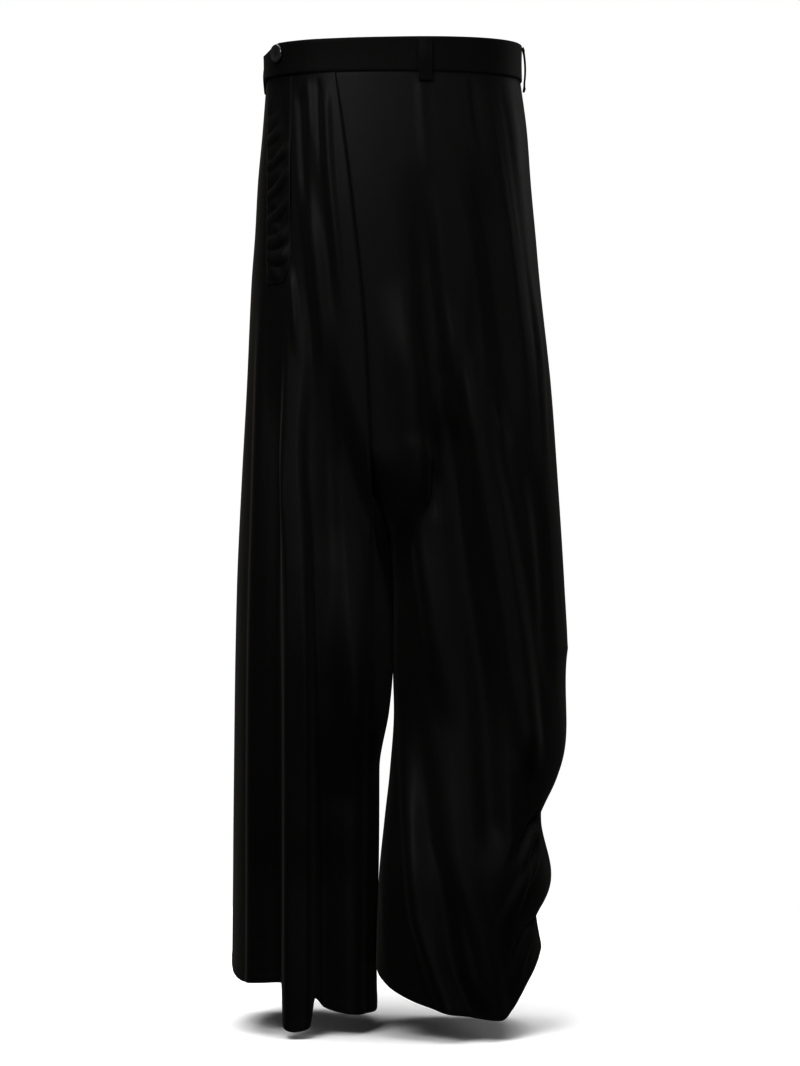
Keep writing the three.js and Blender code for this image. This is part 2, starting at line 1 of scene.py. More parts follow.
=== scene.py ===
"""Draped black satin trousers in the dhoti manner, hollow and filled out as worn.

Sizes are in millimetres until a mesh is made. X runs to the wearer's left, Y to the back and Z up, and
the origin is the middle of the waistband's ring. "Share" is the share of the way round one half of the
garment: 0 at centre front, 0.5 at the side seam and 1 at centre back, and on a leg 0 and 1 are its inseam.
"""

import math

import bmesh
import bpy
import numpy as np
from mathutils import Matrix, Vector


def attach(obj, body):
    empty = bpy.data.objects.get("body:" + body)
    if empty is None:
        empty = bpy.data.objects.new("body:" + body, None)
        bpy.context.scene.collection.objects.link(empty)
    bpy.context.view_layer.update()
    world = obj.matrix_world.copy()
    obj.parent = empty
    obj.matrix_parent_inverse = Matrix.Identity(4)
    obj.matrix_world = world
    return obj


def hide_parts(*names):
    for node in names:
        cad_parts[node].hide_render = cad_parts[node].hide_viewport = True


MM = 0.001
SIGN = {"right": -1, "left": 1}

# Stage, in metres: a floor just below the hems, the surroundings' strength as light and as seen, soft lamps
# by name, place, target, size and watts, and the camera
FLOOR = {"z": -1.056, "radius": 1.3, "sides": 128}
WORLD = {"light": 0.03, "seen": 1.0}
VIEW_GAMMA = 0.72
LAMPS = [
    ("key", (-0.9, -2.1, 1.0), (0, 0, -0.1), (1.3, 1.0), 60),
    ("fill", (1.7, -2.0, 0.5), (0, 0, -0.3), (0.7, 1.2), 10),
    ("rim", (1.6, 0.9, 0.25), (0.17, 0, -0.28), (0.3, 0.5), 4),
    ("low", (0.5, -2.2, -0.85), (0.05, 0, -0.5), (1.4, 0.5), 6),
    ("overhead", (0, 0.2, 2.6), (0, 0.2, -1), (4, 4), 230),
]
CAMERA = {"place": (0.0077, -4.0, -0.514), "focal_pixels": 3636.4, "image_height": 1066, "film": 36,
          "far": 50}


def table(header, *rows):
    """Columns by name, from a header line and one row of numbers for each section."""
    names = header.split()
    return {name: np.array([row[i] for row in rows], float) for i, name in enumerate(names)}


# Waistband: its wall, how far out it stands, its rise towards the left, the dip at its buttoned end, the
# overlap, its grid, and the hollow and faint waves of its face
BAND_HEIGHT = 37
BAND_WALL = 3.2
BAND_OUT = 0.5
BAND_RISE_TO_LEFT = 0.015
BAND_DIP = {"depth": 9, "start": 122, "end": 141}
BAND_OVERLAP = {"inner_end": 0.235, "ramp_start": 0.1, "ramp_end": 0.215, "outer_end": 0.44, "step": 3.3}
BAND_COLUMNS = {"inner": 200, "left": 280, "outer": 150}
BAND_ROWS = 12
BAND_FACE = {"hollow": 0.35, "wave": 0.18, "length": 17, "drift": 1.5, "drift_length": 61}

# Panels' top and sections down the garment. Below the cleft's top the tube divides, and beside the inseam
# the legs' form is whole where the cleft is deep. Further from the inseam than a share of the way round it
# runs from its own top to the crotch. Beside the inseam it is fuller, by a power of its depth.
TOP = -BAND_HEIGHT / 2 - 0.2
FULLNESS = 2.4
CLEFT_TOP = -430
CLEFT_DEEP = -640
CROTCH = -660
LEG_FORM = {"top": -130, "share": 0.22, "inner_fullness": 0.52}
BODY = table(
    "z right left front back",
    (TOP, 138.5, 139.5, 100, 99),
    (-76, 143, 147, 104, 110),
    (-131, 148, 151, 107, 119),
    (-186, 151, 156, 109, 124),
    (-241, 155, 161, 110, 122),
    (-351, 160, 173, 111, 114),
    (-461, 166, 181, 112, 110),
    (-571, 171, 188, 113, 109),
    (-660, 173, 192, 114, 110),
    (-760, 174.5, 188, 116, 113),
    (-860, 176, 175, 118, 116),
    (-960, 177, 165, 118, 118),
    (-1050, 178, 160, 116, 118),
)
INNER = table(
    "z right left lean",
    (-600, 0, 0, 0),
    (-656, 0, 0, 0),
    (-672, 0.8, 0.5, 0.5),
    (-708, 4.4, 1.4, 2),
    (-775, 15.4, -3, 8),
    (-829, 15.6, -9, 14),
    (-900, 16.5, -15.6, 22),
    (-985, 18.5, -17.8, 22),
    (-1050, 18, -17.8, 22),
)

# Swags of the left leg's outer side, from tuck to tuck
SWAG_SPREAD = 0.09
SWAGS = table(
    "top bottom top_x bottom_x belly low",
    (-640, -816, 192, 159, 17, 1.6),
    (-816, -929, 159, 156, 15.5, 1.55),
    (-929, -1010, 156, 150, 9, 1.3),
)

# Wrap pleat of the right front: its folded edge's place from the middle, how far the cloth is tucked back
# behind that edge, how far the edge stands forward, and how far across the cloth is lifted
PLEAT_OPENING = 140
PLEAT_RADIUS_SHARE = 0.3
PLEAT_UNDERLAP = 3
PLEAT_SIDE_FADE = 0.12
PLEAT_STEEP_FROM = 0.3
PLEAT = table(
    "z edge tuck lift reach",
    (TOP, 62, 17, 2.2, 30),
    (-40, 59, 17, 4.6, 33),
    (-75, 54, 17, 6.6, 38),
    (-162, 43.5, 17.5, 8.5, 42),
    (-293, 30.5, 17.5, 9, 46),
    (-430, 24.4, 17, 9.8, 53),
    (-500, 22.6, 0, 12, 60),
    (-560, 21.2, 0, 19, 70),
    (-634, 20, 0, 25, 75),
    (-700, 18.5, 0, 19, 70),
    (-760, 18, 0, 8, 60),
    (-800, 19, 0, 0, 50),
)

# Hems, by share round each leg, the level where rows begin to follow them, and how high and how much
# thicker the cloth is that is turned up
HEM = {
    "right": table(
        "share z",
        (0, -1036), (0.11, -1034), (0.15, -1032), (0.19, -1026), (0.222, -1014), (0.236, -1044),
        (0.262, -1048), (0.284, -1044), (0.297, -998), (0.4, -1001), (0.46, -996), (0.5, -985),
        (0.54, -992), (0.62, -1000), (0.75, -1006), (0.9, -1022), (1, -1036),
    ),
    "left": table(
        "share z",
        (0, -983), (0.08, -998), (0.16, -1014), (0.22, -1023), (0.27, -1029), (0.325, -1033),
        (0.35, -1027), (0.385, -1008), (0.42, -988), (0.46, -969), (0.5, -966), (0.6, -984),
        (0.75, -1000), (0.9, -992), (1, -983),
    ),
}
HEM_ZONE = -860
HEM_TURN = 9
HEM_STEP = 1.5
HEM_EXTRA = 0.7

# Cloth, its thinner rim, and the ditches along its seams: at the waist seam they are shallower, and the two
# pairs say how far below the cleft's top or the crotch one fades out or in, and over what length
CLOTH = 0.8
RIM_WALL = 0.4
SHARP_EDGE = math.radians(70)
SEAM_DITCH = {"depth": 0.9, "width": 2.6, "at_waist": 0.25, "hips_end": (60, 80), "legs_start": (40, 60)}

# The faint waves that a satin never loses, fading out beside the seams of a panel and below the waist
WAVES = table("length height fall", (64, 0.4, 0.1), (29, 0.12, 0.14), (13, 0.04, 0.2))
WAVE_SLANT = {"left": 0.22, "right": 0.03}
WAVE_SEED = {"left": 11, "right": 23}
WAVE = {"count": 8, "overlap": 3, "lengths": (0.7, 1.6), "down": 0.4, "panel": 350, "waist_fade": 45}
SIDE_FADE = 14

# Grids: rows down to the hem zone, rows in it, columns, and steps along each half of the pleat's return.
# Steps are finer beside the side seams and at the waist and hem, and at the rounded edges of strips.
FRONT_RIGHT_GRID = {"upper": 190, "lower": 46, "columns": 160, "return": 12}
FRONT_LEFT_GRID = {"upper": 190, "lower": 52, "columns": 150}
BACK_GRID = {"upper": 170, "lower": 44, "columns": 124}
EDGE_STEPS = (0.0015, 0.0035, 0.006, 0.01)
WAIST_ROWS = (0, 0.8, 2, 4, 7)
HEM_ROWS = (0.965, 0.98, 0.99, 0.996, 1)
ROUNDED = {"steps": 5, "width": 0.035, "least": 0.12}

# Accuracy: the share over which a slope is taken, halvings of a search, and levels down a fold's route
SLOPE_STEP = 0.002
HALVINGS = 26
ROUTE_LEVELS = 160
GROWTH_PAST_END = 1.1


class Fold:
    """One fold: height out of the cloth (a trough's is negative), widths towards the inseam and towards the
    side, the lengths over which it rises and fades (a fade of 0 runs on to the hem), its growth from top to
    bottom, the level share of its width, and its route as X from the middle and Z."""

    def __init__(self, on, height, inner, outer, rise, fade, route, grow=1, flat=0):
        self.side, self.face = on.split()
        self.height, self.inner, self.outer = height, inner, outer
        self.rise, self.fade, self.grow, self.flat = rise, fade, grow, flat
        self.route = np.array(route, float)

    def middle(self):
        """Levels down the route, with the fold's share of the way round and its pace at each."""
        levels = np.linspace(self.route[-1, 1], self.route[0, 1], ROUTE_LEVELS)
        x = through(self.route[:, 1], self.route[:, 0], levels)
        shares = share_at(self.side, x, levels, self.face == "back")
        return levels, shares, directions(self.side, shares, levels)[2]


FOLDS = [
    # Left front, sweeping from the waist to the upper tuck
    Fold("left front", -12, 26, 24, 120, 60,
         [(24, -110), (42, -297), (58, -414), (78, -564), (97, -690), (103, -780), (112, -880)]),
    Fold("left front", 10, 28, 24, 110, 110, [(6, -230), (21, -372), (32, -506), (47, -611), (58, -725)]),
    Fold("left front", 14, 24, 30, 150, 60,
         [(60, -250), (88, -393), (113, -533), (129, -630), (147, -785)]),
    Fold("left front", -8, 26, 30, 90, 130, [(76, -95), (100, -174), (113, -264), (134, -440)]),
    Fold("left front", -5, 22, 22, 80, 90, [(150, -420), (163, -560), (168, -700)]),
    Fold("left front", -2.4, 8, 11, 70, 80, [(99, -430), (120, -590), (138, -730)]),
    Fold("left front", -2.6, 8, 10, 18, 22, [(110, -372), (119, -397), (126, -424)]),
    Fold("left front", 1.6, 9, 9, 20, 60, [(30, -21), (33, -80), (40, -150)]),
    Fold("left front", -1.4, 8, 10, 16, 70, [(84, -20), (90, -70), (99, -130)]),
    Fold("left front", 3, 12, 14, 120, 140, [(146, -200), (160, -330), (168, -470)]),
    # Left front, below the knee
    Fold("left front", 5, 20, 16, 280, 0,
         [(3, -640), (12, -740), (21, -840), (28, -915), (44, -973), (60, -1020)], 2.2),
    Fold("left front", -7, 16, 22, 230, 0,
         [(20, -660), (34, -780), (38, -840), (50, -890), (66, -981), (86, -1025)], 1.1),
    Fold("left front", 5, 20, 22, 220, 0,
         [(56, -700), (66, -800), (76, -880), (98, -960), (112, -1030)], 1.2),
    Fold("left front", 2.5, 8, 9, 60, 0, [(58, -860), (70, -930), (90, -1020)]),
    Fold("left both", -7, 13, 14, 14, 60, [(157, -812), (143, -838), (118, -885)]),
    Fold("left both", 3.5, 8, 9, 12, 60, [(156, -824), (146, -850), (128, -900)]),
    Fold("left both", -3.5, 8, 8, 14, 60, [(158, -836), (150, -862), (138, -915)]),
    Fold("left both", 6, 18, 18, 30, 70, [(160, -852), (140, -888), (112, -950)]),
    Fold("left both", -6, 13, 14, 14, 50, [(154, -926), (138, -948), (118, -992)]),
    Fold("left both", 3, 8, 9, 12, 40, [(153, -936), (143, -962), (132, -1000)]),
    # Right front, down from the waist seam, and the long pleat that hangs below the hem
    Fold("right front", 3.5, 8, 11, 40, 120, [(72, -24), (69, -104), (60, -207), (52, -300)]),
    Fold("right front", 5, 13, 17, 90, 110, [(94, -120), (80, -243), (74, -311), (80, -400)]),
    Fold("right front", -1.6, 6, 7, 14, 60, [(81, -21), (79, -70), (76, -140)]),
    Fold("right front", 1.5, 6, 7, 14, 50, [(92, -21), (90, -60), (88, -110)]),
    Fold("right front", -2, 7, 9, 24, 70, [(101, -30), (96, -120), (89, -200)]),
    Fold("right front", 3, 8, 8, 30, 50, [(111, -222), (106, -270), (102, -330)]),
    Fold("right front", 10, 20, 20, 330, 0,
         [(110, -190), (104, -325), (108, -425), (103, -533), (101, -640), (102, -1050)], 1.75, 0.35),
    Fold("right front", -9, 24, 17, 240, 0,
         [(82, -450), (79, -586), (75, -686), (73, -800), (71, -1050)], 1.5),
    Fold("right front", -6, 17, 17, 90, 180, [(69, -350), (67, -479), (62, -560), (58, -700), (52, -860)]),
    Fold("right front", 6, 26, 20, 160, 0, [(44, -540), (42, -700), (44, -1050)], 1.3),
    Fold("right front", -5, 16, 20, 110, 0, [(124, -300), (126, -480), (127, -640), (127, -1050)], 1.4),
    Fold("right front", 3, 17, 17, 120, 0, [(140, -220), (146, -440), (151, -700), (152, -1050)], 1.6),
    Fold("right front", 1.8, 7, 7, 80, 160, [(116, -420), (118, -560), (118, -720)]),
    # Left back
    Fold("left back", -6, 26, 26, 140, 120, [(120, -200), (140, -480), (146, -780)]),
    Fold("left back", 8, 26, 30, 180, 0, [(84, -260), (108, -560), (106, -1020)]),
    Fold("left back", -8, 24, 26, 160, 0, [(52, -240), (68, -560), (70, -1020)], 1.2),
    Fold("left back", 8, 22, 24, 190, 0, [(26, -380), (34, -700), (30, -1020)], 1.2),
    Fold("left back", 2.4, 9, 10, 70, 160, [(70, -320), (90, -500), (96, -700)]),
    Fold("left back", -1.8, 8, 9, 20, 80, [(58, -21), (62, -90), (70, -180)]),
    Fold("left back", -2.6, 9, 9, 60, 100, [(112, -560), (128, -700), (138, -810)]),
    # Right back
    Fold("right back", 7, 24, 26, 170, 0, [(126, -250), (138, -560), (142, -1050)], 1.3),
    Fold("right back", -8, 24, 22, 170, 0, [(98, -300), (112, -620), (114, -1050)], 1.3),
    Fold("right back", 9, 22, 24, 200, 0, [(68, -270), (82, -640), (84, -1050)], 1.3),
    Fold("right back", -8, 22, 22, 180, 0, [(38, -400), (52, -700), (54, -1050)], 1.2),
    Fold("right back", 2.2, 8, 9, 80, 200, [(88, -360), (97, -560), (99, -820)]),
    Fold("right back", -1.8, 8, 9, 20, 80, [(64, -21), (62, -90), (66, -190)]),
]

# Fly on the wearer's right hip: where its edge gapes, and its puckers, which curve, fade towards the inner
# edge and stay free of both edges
FLY = {"inner": 109, "outer": 136, "top": -19.5, "corner": -205, "bottom": -246, "corner_share": 0.4,
       "wall": 1, "columns": 30, "rows": 150}
FLY_GAP = 0.35
FLY_PUFF = {"height": 0.5, "share": 0.1}
PUCKER = {"curve": 5, "fade": 0.3, "power": 0.7, "inner_free": 0.3, "outer_free": 0.16}
FLY_GAPE = {"height": 2.2, "z": -136, "length": 46, "share": 0.16}
PUCKERS = table(
    "z height tilt width reach",
    (-46, 1.2, -8, 9, 0.4),
    (-62, 1.6, -20, 9, 0.75),
    (-77, 2.6, -30, 8, 0.8),
    (-95, 2.0, -12, 10, 0.65),
    (-106, 2.8, -26, 7, 1.2),
    (-122, 2.4, -18, 9, 0.85),
    (-137, 3.0, -34, 8, 1.2),
    (-152, 2.2, -6, 8, 0.65),
    (-166, 2.8, -28, 8, 1.2),
    (-180, 2.2, 10, 7, 0.75),
    (-194, 3.2, -16, 9, 1.2),
    (-212, 3.4, -4, 9, 1.2),
    (-230, 1.8, 12, 8, 0.75),
)

# Belt loops
LOOP = {"width": 15, "wall": 1.3, "stand_off": 3, "above": 1.5, "below": 10, "gap": 0.1, "bow": 0.7,
        "columns": 10, "rows": 40}
LOOP_FACE = {"crown": 0.35, "groove": 0.28, "groove_at": 0.36, "groove_width": 0.035}
LOOP_TURN = {"extra": 0.6, "share": 0.16}
LOOPS = [
    ("belt_loop_front", "left", 0.06),
    ("belt_loop_left_side", "left", 0.5),
    ("belt_loop_back_left", "left", 0.8),
    ("belt_loop_back_right", "right", 0.8),
    ("belt_loop_right_side", "right", 0.57),
]

# Stitches: one thread's form, the fly's row, a loop's bar tacks, and the buttonhole's edge
STITCH = {"rings": 5, "sides": 6, "tip": 0.35, "rise": 0.16, "width": 0.34, "share": 0.78}
FLY_STITCHES = {"column": 9, "first": 6, "last": -8, "out": 0.62, "pitch": 2.6}
BARTACK = {"rows": (5, -6), "margin": 5, "out": 0.95, "half": 0.9, "width": 0.45}
BUTTONHOLE = {"behind": 0.55, "half": 9.5, "radius": 1.7, "straight": 44, "round": 10, "shift": 4.5,
              "inner": 0.8, "outer": 0.5, "width": 0.42}

# Button, in its own frame: its holes, the thread through them, and its outline as radius and height
BUTTON = {"share": 0.322, "z": 5, "off": 0.75, "hole": 0.95, "hole_spread": 2.5, "hole_sides": 24}
BUTTON_HOLES = ((0.71, 0.71), (-0.71, 0.71), (-0.71, -0.71), (0.71, -0.71))
BUTTON_THREAD = {"pairs": ((0, 1), (3, 2)), "shifts": (-0.28, 0.28), "height": 1.75, "width": 0.5}
BUTTON_SHARP_EDGE = math.radians(40)
DRILL_LENGTH = 0.02
BUTTON_SECTION = [
    (0, 1.75), (4.2, 1.8), (5.6, 2.05), (6.8, 2.55), (7.8, 2.85), (8.8, 2.8), (9.6, 2.4),
    (10, 1.6), (9.7, 0.9), (8.9, 0.35), (7.5, 0), (0, 0),
]


def through(places, values, at):
    """Values of a smooth curve through a table's points, without overshoot."""
    if places[0] > places[-1]:
        places, values = places[::-1], values[::-1]
    slopes = np.diff(values) / np.diff(places)
    tangents = np.concatenate([slopes[:1], np.zeros(len(slopes) - 1), slopes[-1:]])
    a, b = slopes[:-1], slopes[1:]
    same = a * b > 0
    tangents[1:-1][same] = 2 * a[same] * b[same] / (a + b)[same]
    at = np.clip(at, places[0], places[-1])
    i = np.clip(np.searchsorted(places, at, side="right") - 1, 0, len(slopes) - 1)
    width = places[i + 1] - places[i]
    q = (at - places[i]) / width
    start = values[i] * (1 + 2 * q) * (1 - q) ** 2 + tangents[i] * width * q * (1 - q) ** 2
    return start + values[i + 1] * q * q * (3 - 2 * q) + tangents[i + 1] * width * q * q * (q - 1)


def mix(a, b, share):
    return a + (b - a) * share


def ease(share):
    q = np.clip(share, 0, 1)
    return q * q * (3 - 2 * q)


def swag_push(z):
    """How far the swags push the left leg's outer side in or out."""
    push = np.zeros_like(z)
    plain_x = through(BODY["z"], BODY["left"], z)
    for top, bottom, top_x, bottom_x, belly, low in zip(*SWAGS.values()):
        q = (top - z) / (top - bottom)
        here = mix(top_x, bottom_x, q) + belly * np.sin(np.pi * np.clip(q, 0, 1) ** low) - plain_x
        push = np.where((q > 0) & (q <= 1), here, push)
    return np.where(z < SWAGS["bottom"][-1], SWAGS["bottom_x"][-1] - plain_x, push)


def plain(side, share, z):
    """Points of the cloth with no folds."""
    share, z = np.broadcast_arrays(np.asarray(share, float), np.asarray(z, float))
    outer = through(BODY["z"], BODY[side], z)
    inner = through(INNER["z"], INNER[side], z)
    front = through(BODY["z"], BODY["front"], z)
    back = through(BODY["z"], BODY["back"], z)
    power = 2 / FULLNESS
    sine, cosine = np.sin(np.pi * share), np.cos(np.pi * share)
    hip_x = np.sign(sine) * outer * np.abs(sine) ** power
    hip_y = -np.where(cosine > 0, front, back) * np.sign(cosine) * np.abs(cosine) ** power
    turn = np.sin(2 * np.pi * share)
    leg_x = (outer + inner) / 2 - (outer - inner) / 2 * np.cos(2 * np.pi * share)
    fullness = mix(LEG_FORM["inner_fullness"], 1, ease(2 * np.minimum(np.abs(share), 1 - share)))
    turn = np.sign(turn) * np.abs(turn) ** fullness
    leg_y = -np.where(turn > 0, front, back) * turn - SIGN[side] * through(INNER["z"], INNER["lean"], z)
    from_inseam = np.minimum(np.abs(share), 1 - share) / LEG_FORM["share"]
    start = mix(CLEFT_TOP, LEG_FORM["top"], ease(from_inseam))
    legs = ease((start - z) / (start - mix(CLEFT_DEEP, CROTCH, ease(from_inseam))))
    x = mix(hip_x, leg_x, legs)
    if side == "left":
        x = x + swag_push(z) * np.exp(-(((share - 0.5) / SWAG_SPREAD) ** 2))
    return np.stack([SIGN[side] * x, mix(hip_y, leg_y, legs), z], -1)


def share_at(side, x, z, back=False):
    """The share at which plain cloth stands x out from the middle."""
    low, high = np.zeros_like(z), np.full_like(z, 0.5)
    for _ in range(HALVINGS):
        middle = (low + high) / 2
        found = plain(side, 1 - middle if back else middle, z)[..., 0] * SIGN[side]
        low, high = np.where(found < x, middle, low), np.where(found < x, high, middle)
    return 1 - low if back else low


def directions(side, share, z):
    """Level directions along the cloth and out of it, and millimetres along it per unit of share."""
    run = plain(side, share + SLOPE_STEP, z) - plain(side, share - SLOPE_STEP, z)
    run[..., 2] = 0
    length = np.linalg.norm(run, axis=-1, keepdims=True)
    run = run / length
    out = np.stack([run[..., 1], -run[..., 0], np.zeros_like(run[..., 0])], -1) * SIGN[side]
    return run, out, length[..., 0] / (2 * SLOPE_STEP)


def inside(share):
    """The share kept a step away from the seams, where a slope can be taken."""
    return np.clip(share, SLOPE_STEP, 1 - SLOPE_STEP)


def fold_height(side, share, z):
    """Height of all folds on a grid of places."""
    total = np.zeros_like(z)
    to_side = np.abs(share - 0.5) * directions(side, share, z)[2]
    at_side = ease(to_side / SIDE_FADE)
    for fold in FOLDS:
        if fold.side != side:
            continue
        back = fold.face == "back"
        wrapped = fold.face == "both"
        first, last = fold.route[0, 1], fold.route[-1, 1]
        levels, middles, paces = fold.middle()
        place = np.minimum(share, 1 - share) if wrapped else share
        away = (place - np.interp(z, levels, middles)) * np.interp(z, levels, paces)
        if back:
            away = -away
        width = np.where(away < 0, fold.inner, fold.outer)
        q = np.clip((np.abs(away) / width - fold.flat) / (1 - fold.flat), 0, 1)
        length = ease((first - z) / fold.rise)
        if fold.fade:
            length = length * ease((z - last) / fold.fade)
        growth = mix(1, fold.grow, np.clip((first - z) / (first - last), 0, GROWTH_PAST_END))
        height = fold.height * growth * length * np.cos(np.pi / 2 * q) ** 2
        total += height if wrapped else height * at_side
    return total


def waves(side, share, z):
    """Faint uneven waves that run down the cloth, drawn out along its fall."""
    pace = directions(side, inside(share), z)[2]
    across = share * np.median(pace) * SIGN[side]
    slanted = across + WAVE_SLANT[side] * z
    total = np.zeros_like(z)
    rng = np.random.default_rng(WAVE_SEED[side])
    for length, height, fall in zip(*WAVES.values()):
        for _ in range(WAVE["count"]):
            turn = rng.normal(0, fall)
            beat = 2 * np.pi / (length * rng.uniform(*WAVE["lengths"]))
            run = slanted * math.cos(turn) + z * WAVE["down"] * math.sin(turn)
            total += height / WAVE["overlap"] * np.sin(beat * run + rng.uniform(0, 2 * np.pi))
    from_seam = np.minimum(share, np.minimum(np.abs(share - 0.5), 1 - share)) * WAVE["panel"]
    return total * ease(from_seam / SIDE_FADE) * ease((TOP - z) / WAVE["waist_fade"])


def ditch(share, z, side):
    """The cloth turns in at the side seam, at centre back, at the inseam and at the waist seam."""
    pace = directions(side, inside(share), z)[2]
    hips_below, hips_over = SEAM_DITCH["hips_end"]
    legs_below, legs_over = SEAM_DITCH["legs_start"]
    at_hips = 1 - ease((CLEFT_TOP - hips_below - z) / hips_over)
    at_legs = ease((CROTCH - legs_below - z) / legs_over)
    at_waist = np.exp(-(((TOP - z) / SEAM_DITCH["width"]) ** 2)) * SEAM_DITCH["at_waist"]

    def beside(seam):
        return np.exp(-(((share - seam) * pace / SEAM_DITCH["width"]) ** 2))

    total = at_waist + beside(0.5) + beside(1) * (at_hips + at_legs) + beside(0) * at_legs
    return total * SEAM_DITCH["depth"]


def draped(side, share, z):
    """Middle of the cloth, folds and all, without the wrap pleat."""
    share, z = np.broadcast_arrays(np.asarray(share, float), np.asarray(z, float))
    out = directions(side, inside(share), z)[1]
    height = fold_height(side, share, z) + waves(side, share, z) - ditch(share, z, side)
    return plain(side, share, z) + out * height[..., None]


def pleat_at(z):
    """The wrap pleat's sizes at each level."""
    size = {key: through(PLEAT["z"], PLEAT[key], z) for key in PLEAT}
    edge = share_at("right", size["edge"], z)
    size["radius"] = size["lift"] * PLEAT_RADIUS_SHARE
    size["start"] = edge + size["radius"] / directions("right", edge, z)[2]
    size["seam"] = share_at("right", size["edge"] + size["tuck"], z)
    size["opened"] = ease((CLEFT_TOP - z) / PLEAT_OPENING)
    return size


def right_front(share, z):
    """Middle of the right front beyond the wrap pleat's folded edge."""
    pleat = pleat_at(z)
    away = (-plain("right", share, z)[..., 0] - pleat["edge"]) / pleat["reach"]
    points = draped("right", share, z)
    points[..., 1] -= pleat["lift"] * np.exp(-(away**2)) * ease((0.5 - share) / PLEAT_SIDE_FADE)
    return points


def pleat_return(step, turn, z):
    """The wrap pleat's hidden side: back along the cloth by step (0 at its seam, 1 at the roll), then round
    the roll of its folded edge by turn (0 to 1)."""
    pleat = pleat_at(z)
    flat = draped("right", mix(pleat["seam"], pleat["start"], step), z)
    flat[..., 1] -= pleat["lift"] - 2 * pleat["radius"]
    rolled = draped("right", pleat["start"] + 0 * step, z)
    rolled[..., 0] += pleat["radius"] * np.sin(np.pi * turn)
    rolled[..., 1] -= pleat["lift"] - pleat["radius"] - pleat["radius"] * np.cos(np.pi * turn)
    hidden = np.where((turn > 0)[..., None], rolled, flat)
    along = (step + turn) / 2
    steep = draped("right", pleat["start"] * along, z)
    steep[..., 1] -= pleat["lift"] * ease((along - PLEAT_STEEP_FROM) / (1 - PLEAT_STEEP_FROM))
    return mix(hidden, steep, pleat["opened"][..., None])


def hem_at(side, share):
    return through(HEM[side]["share"], HEM[side]["z"], np.clip(share, 0, 1))


def level_rows(grid):
    """Each row's Z at the top of the hem zone or above, and its share of the way on to the hem. Rows are
    finer at the waist seam and at the hem."""
    even = np.linspace(WAIST_ROWS[-1], TOP - HEM_ZONE, grid["upper"], endpoint=False)
    down = np.concatenate([WAIST_ROWS[:-1], even])
    along = np.concatenate([np.linspace(0, HEM_ROWS[0], grid["lower"]), HEM_ROWS[1:]])
    fixed = np.concatenate([TOP - down, np.full(len(along), HEM_ZONE, float)])
    return fixed[:, None], np.concatenate([0 * down, along])[:, None]


def level_z(rows, side, share):
    fixed, along = rows
    return fixed + along * (hem_at(side, share) - HEM_ZONE)


def seam_to_seam(first, last, count):
    """Shares from one seam to another on every row, finer at both ends."""
    steps = np.array(EDGE_STEPS)
    spread = np.linspace(0, 1, count)[1:-1]
    middle = mix(first + steps[-1], last - steps[-1], spread)
    return np.concatenate([first, first + steps, middle, last - steps[::-1], last], 1)


def front_right_grid():
    rows = level_rows(FRONT_RIGHT_GRID)
    z = level_z(rows, "right", np.zeros((1, 1)))
    start = pleat_at(z)["start"]
    even = np.linspace(0, 1, FRONT_RIGHT_GRID["return"])
    step = np.concatenate([even, np.ones(len(even) - 1)])[None]
    turn = np.concatenate([np.zeros(len(even)), even[1:]])[None]
    hidden = start * (step + turn) / 2
    hidden_z = level_z(rows, "right", hidden)
    hidden_points = pleat_return(step + 0 * hidden_z, turn + 0 * hidden_z, hidden_z)
    last = np.full_like(z, 0.5)
    shown = mix(start, last - EDGE_STEPS[-1], np.linspace(0, 1, FRONT_RIGHT_GRID["columns"])[1:])
    ends = last - np.array(EDGE_STEPS)[-2::-1]
    shown = np.concatenate([shown, ends, last], 1)
    shown_points = right_front(shown, level_z(rows, "right", shown))
    return np.concatenate([hidden_points, shown_points], 1), np.concatenate([hidden, shown], 1)


def front_left_grid():
    rows = level_rows(FRONT_LEFT_GRID)
    z = level_z(rows, "left", np.zeros((1, 1)))
    opened = pleat_at(z)["opened"]
    edge = pleat_return(0 * z, 0 * z, z)[..., 0]
    under = -edge - mix(PLEAT_UNDERLAP, 0, opened)
    first = np.where((opened < 1) & (under > 0), -share_at("left", np.abs(under), z), 0)
    shares = seam_to_seam(first, np.full_like(z, 0.5), FRONT_LEFT_GRID["columns"])
    return draped("left", shares, level_z(rows, "left", shares)), shares


def back_grid(side):
    rows = level_rows(BACK_GRID)
    seam = np.ones_like(level_z(rows, side, np.ones((1, 1))))
    shares = seam_to_seam(seam / 2, seam, BACK_GRID["columns"])
    return draped(side, shares, level_z(rows, side, shares)), shares


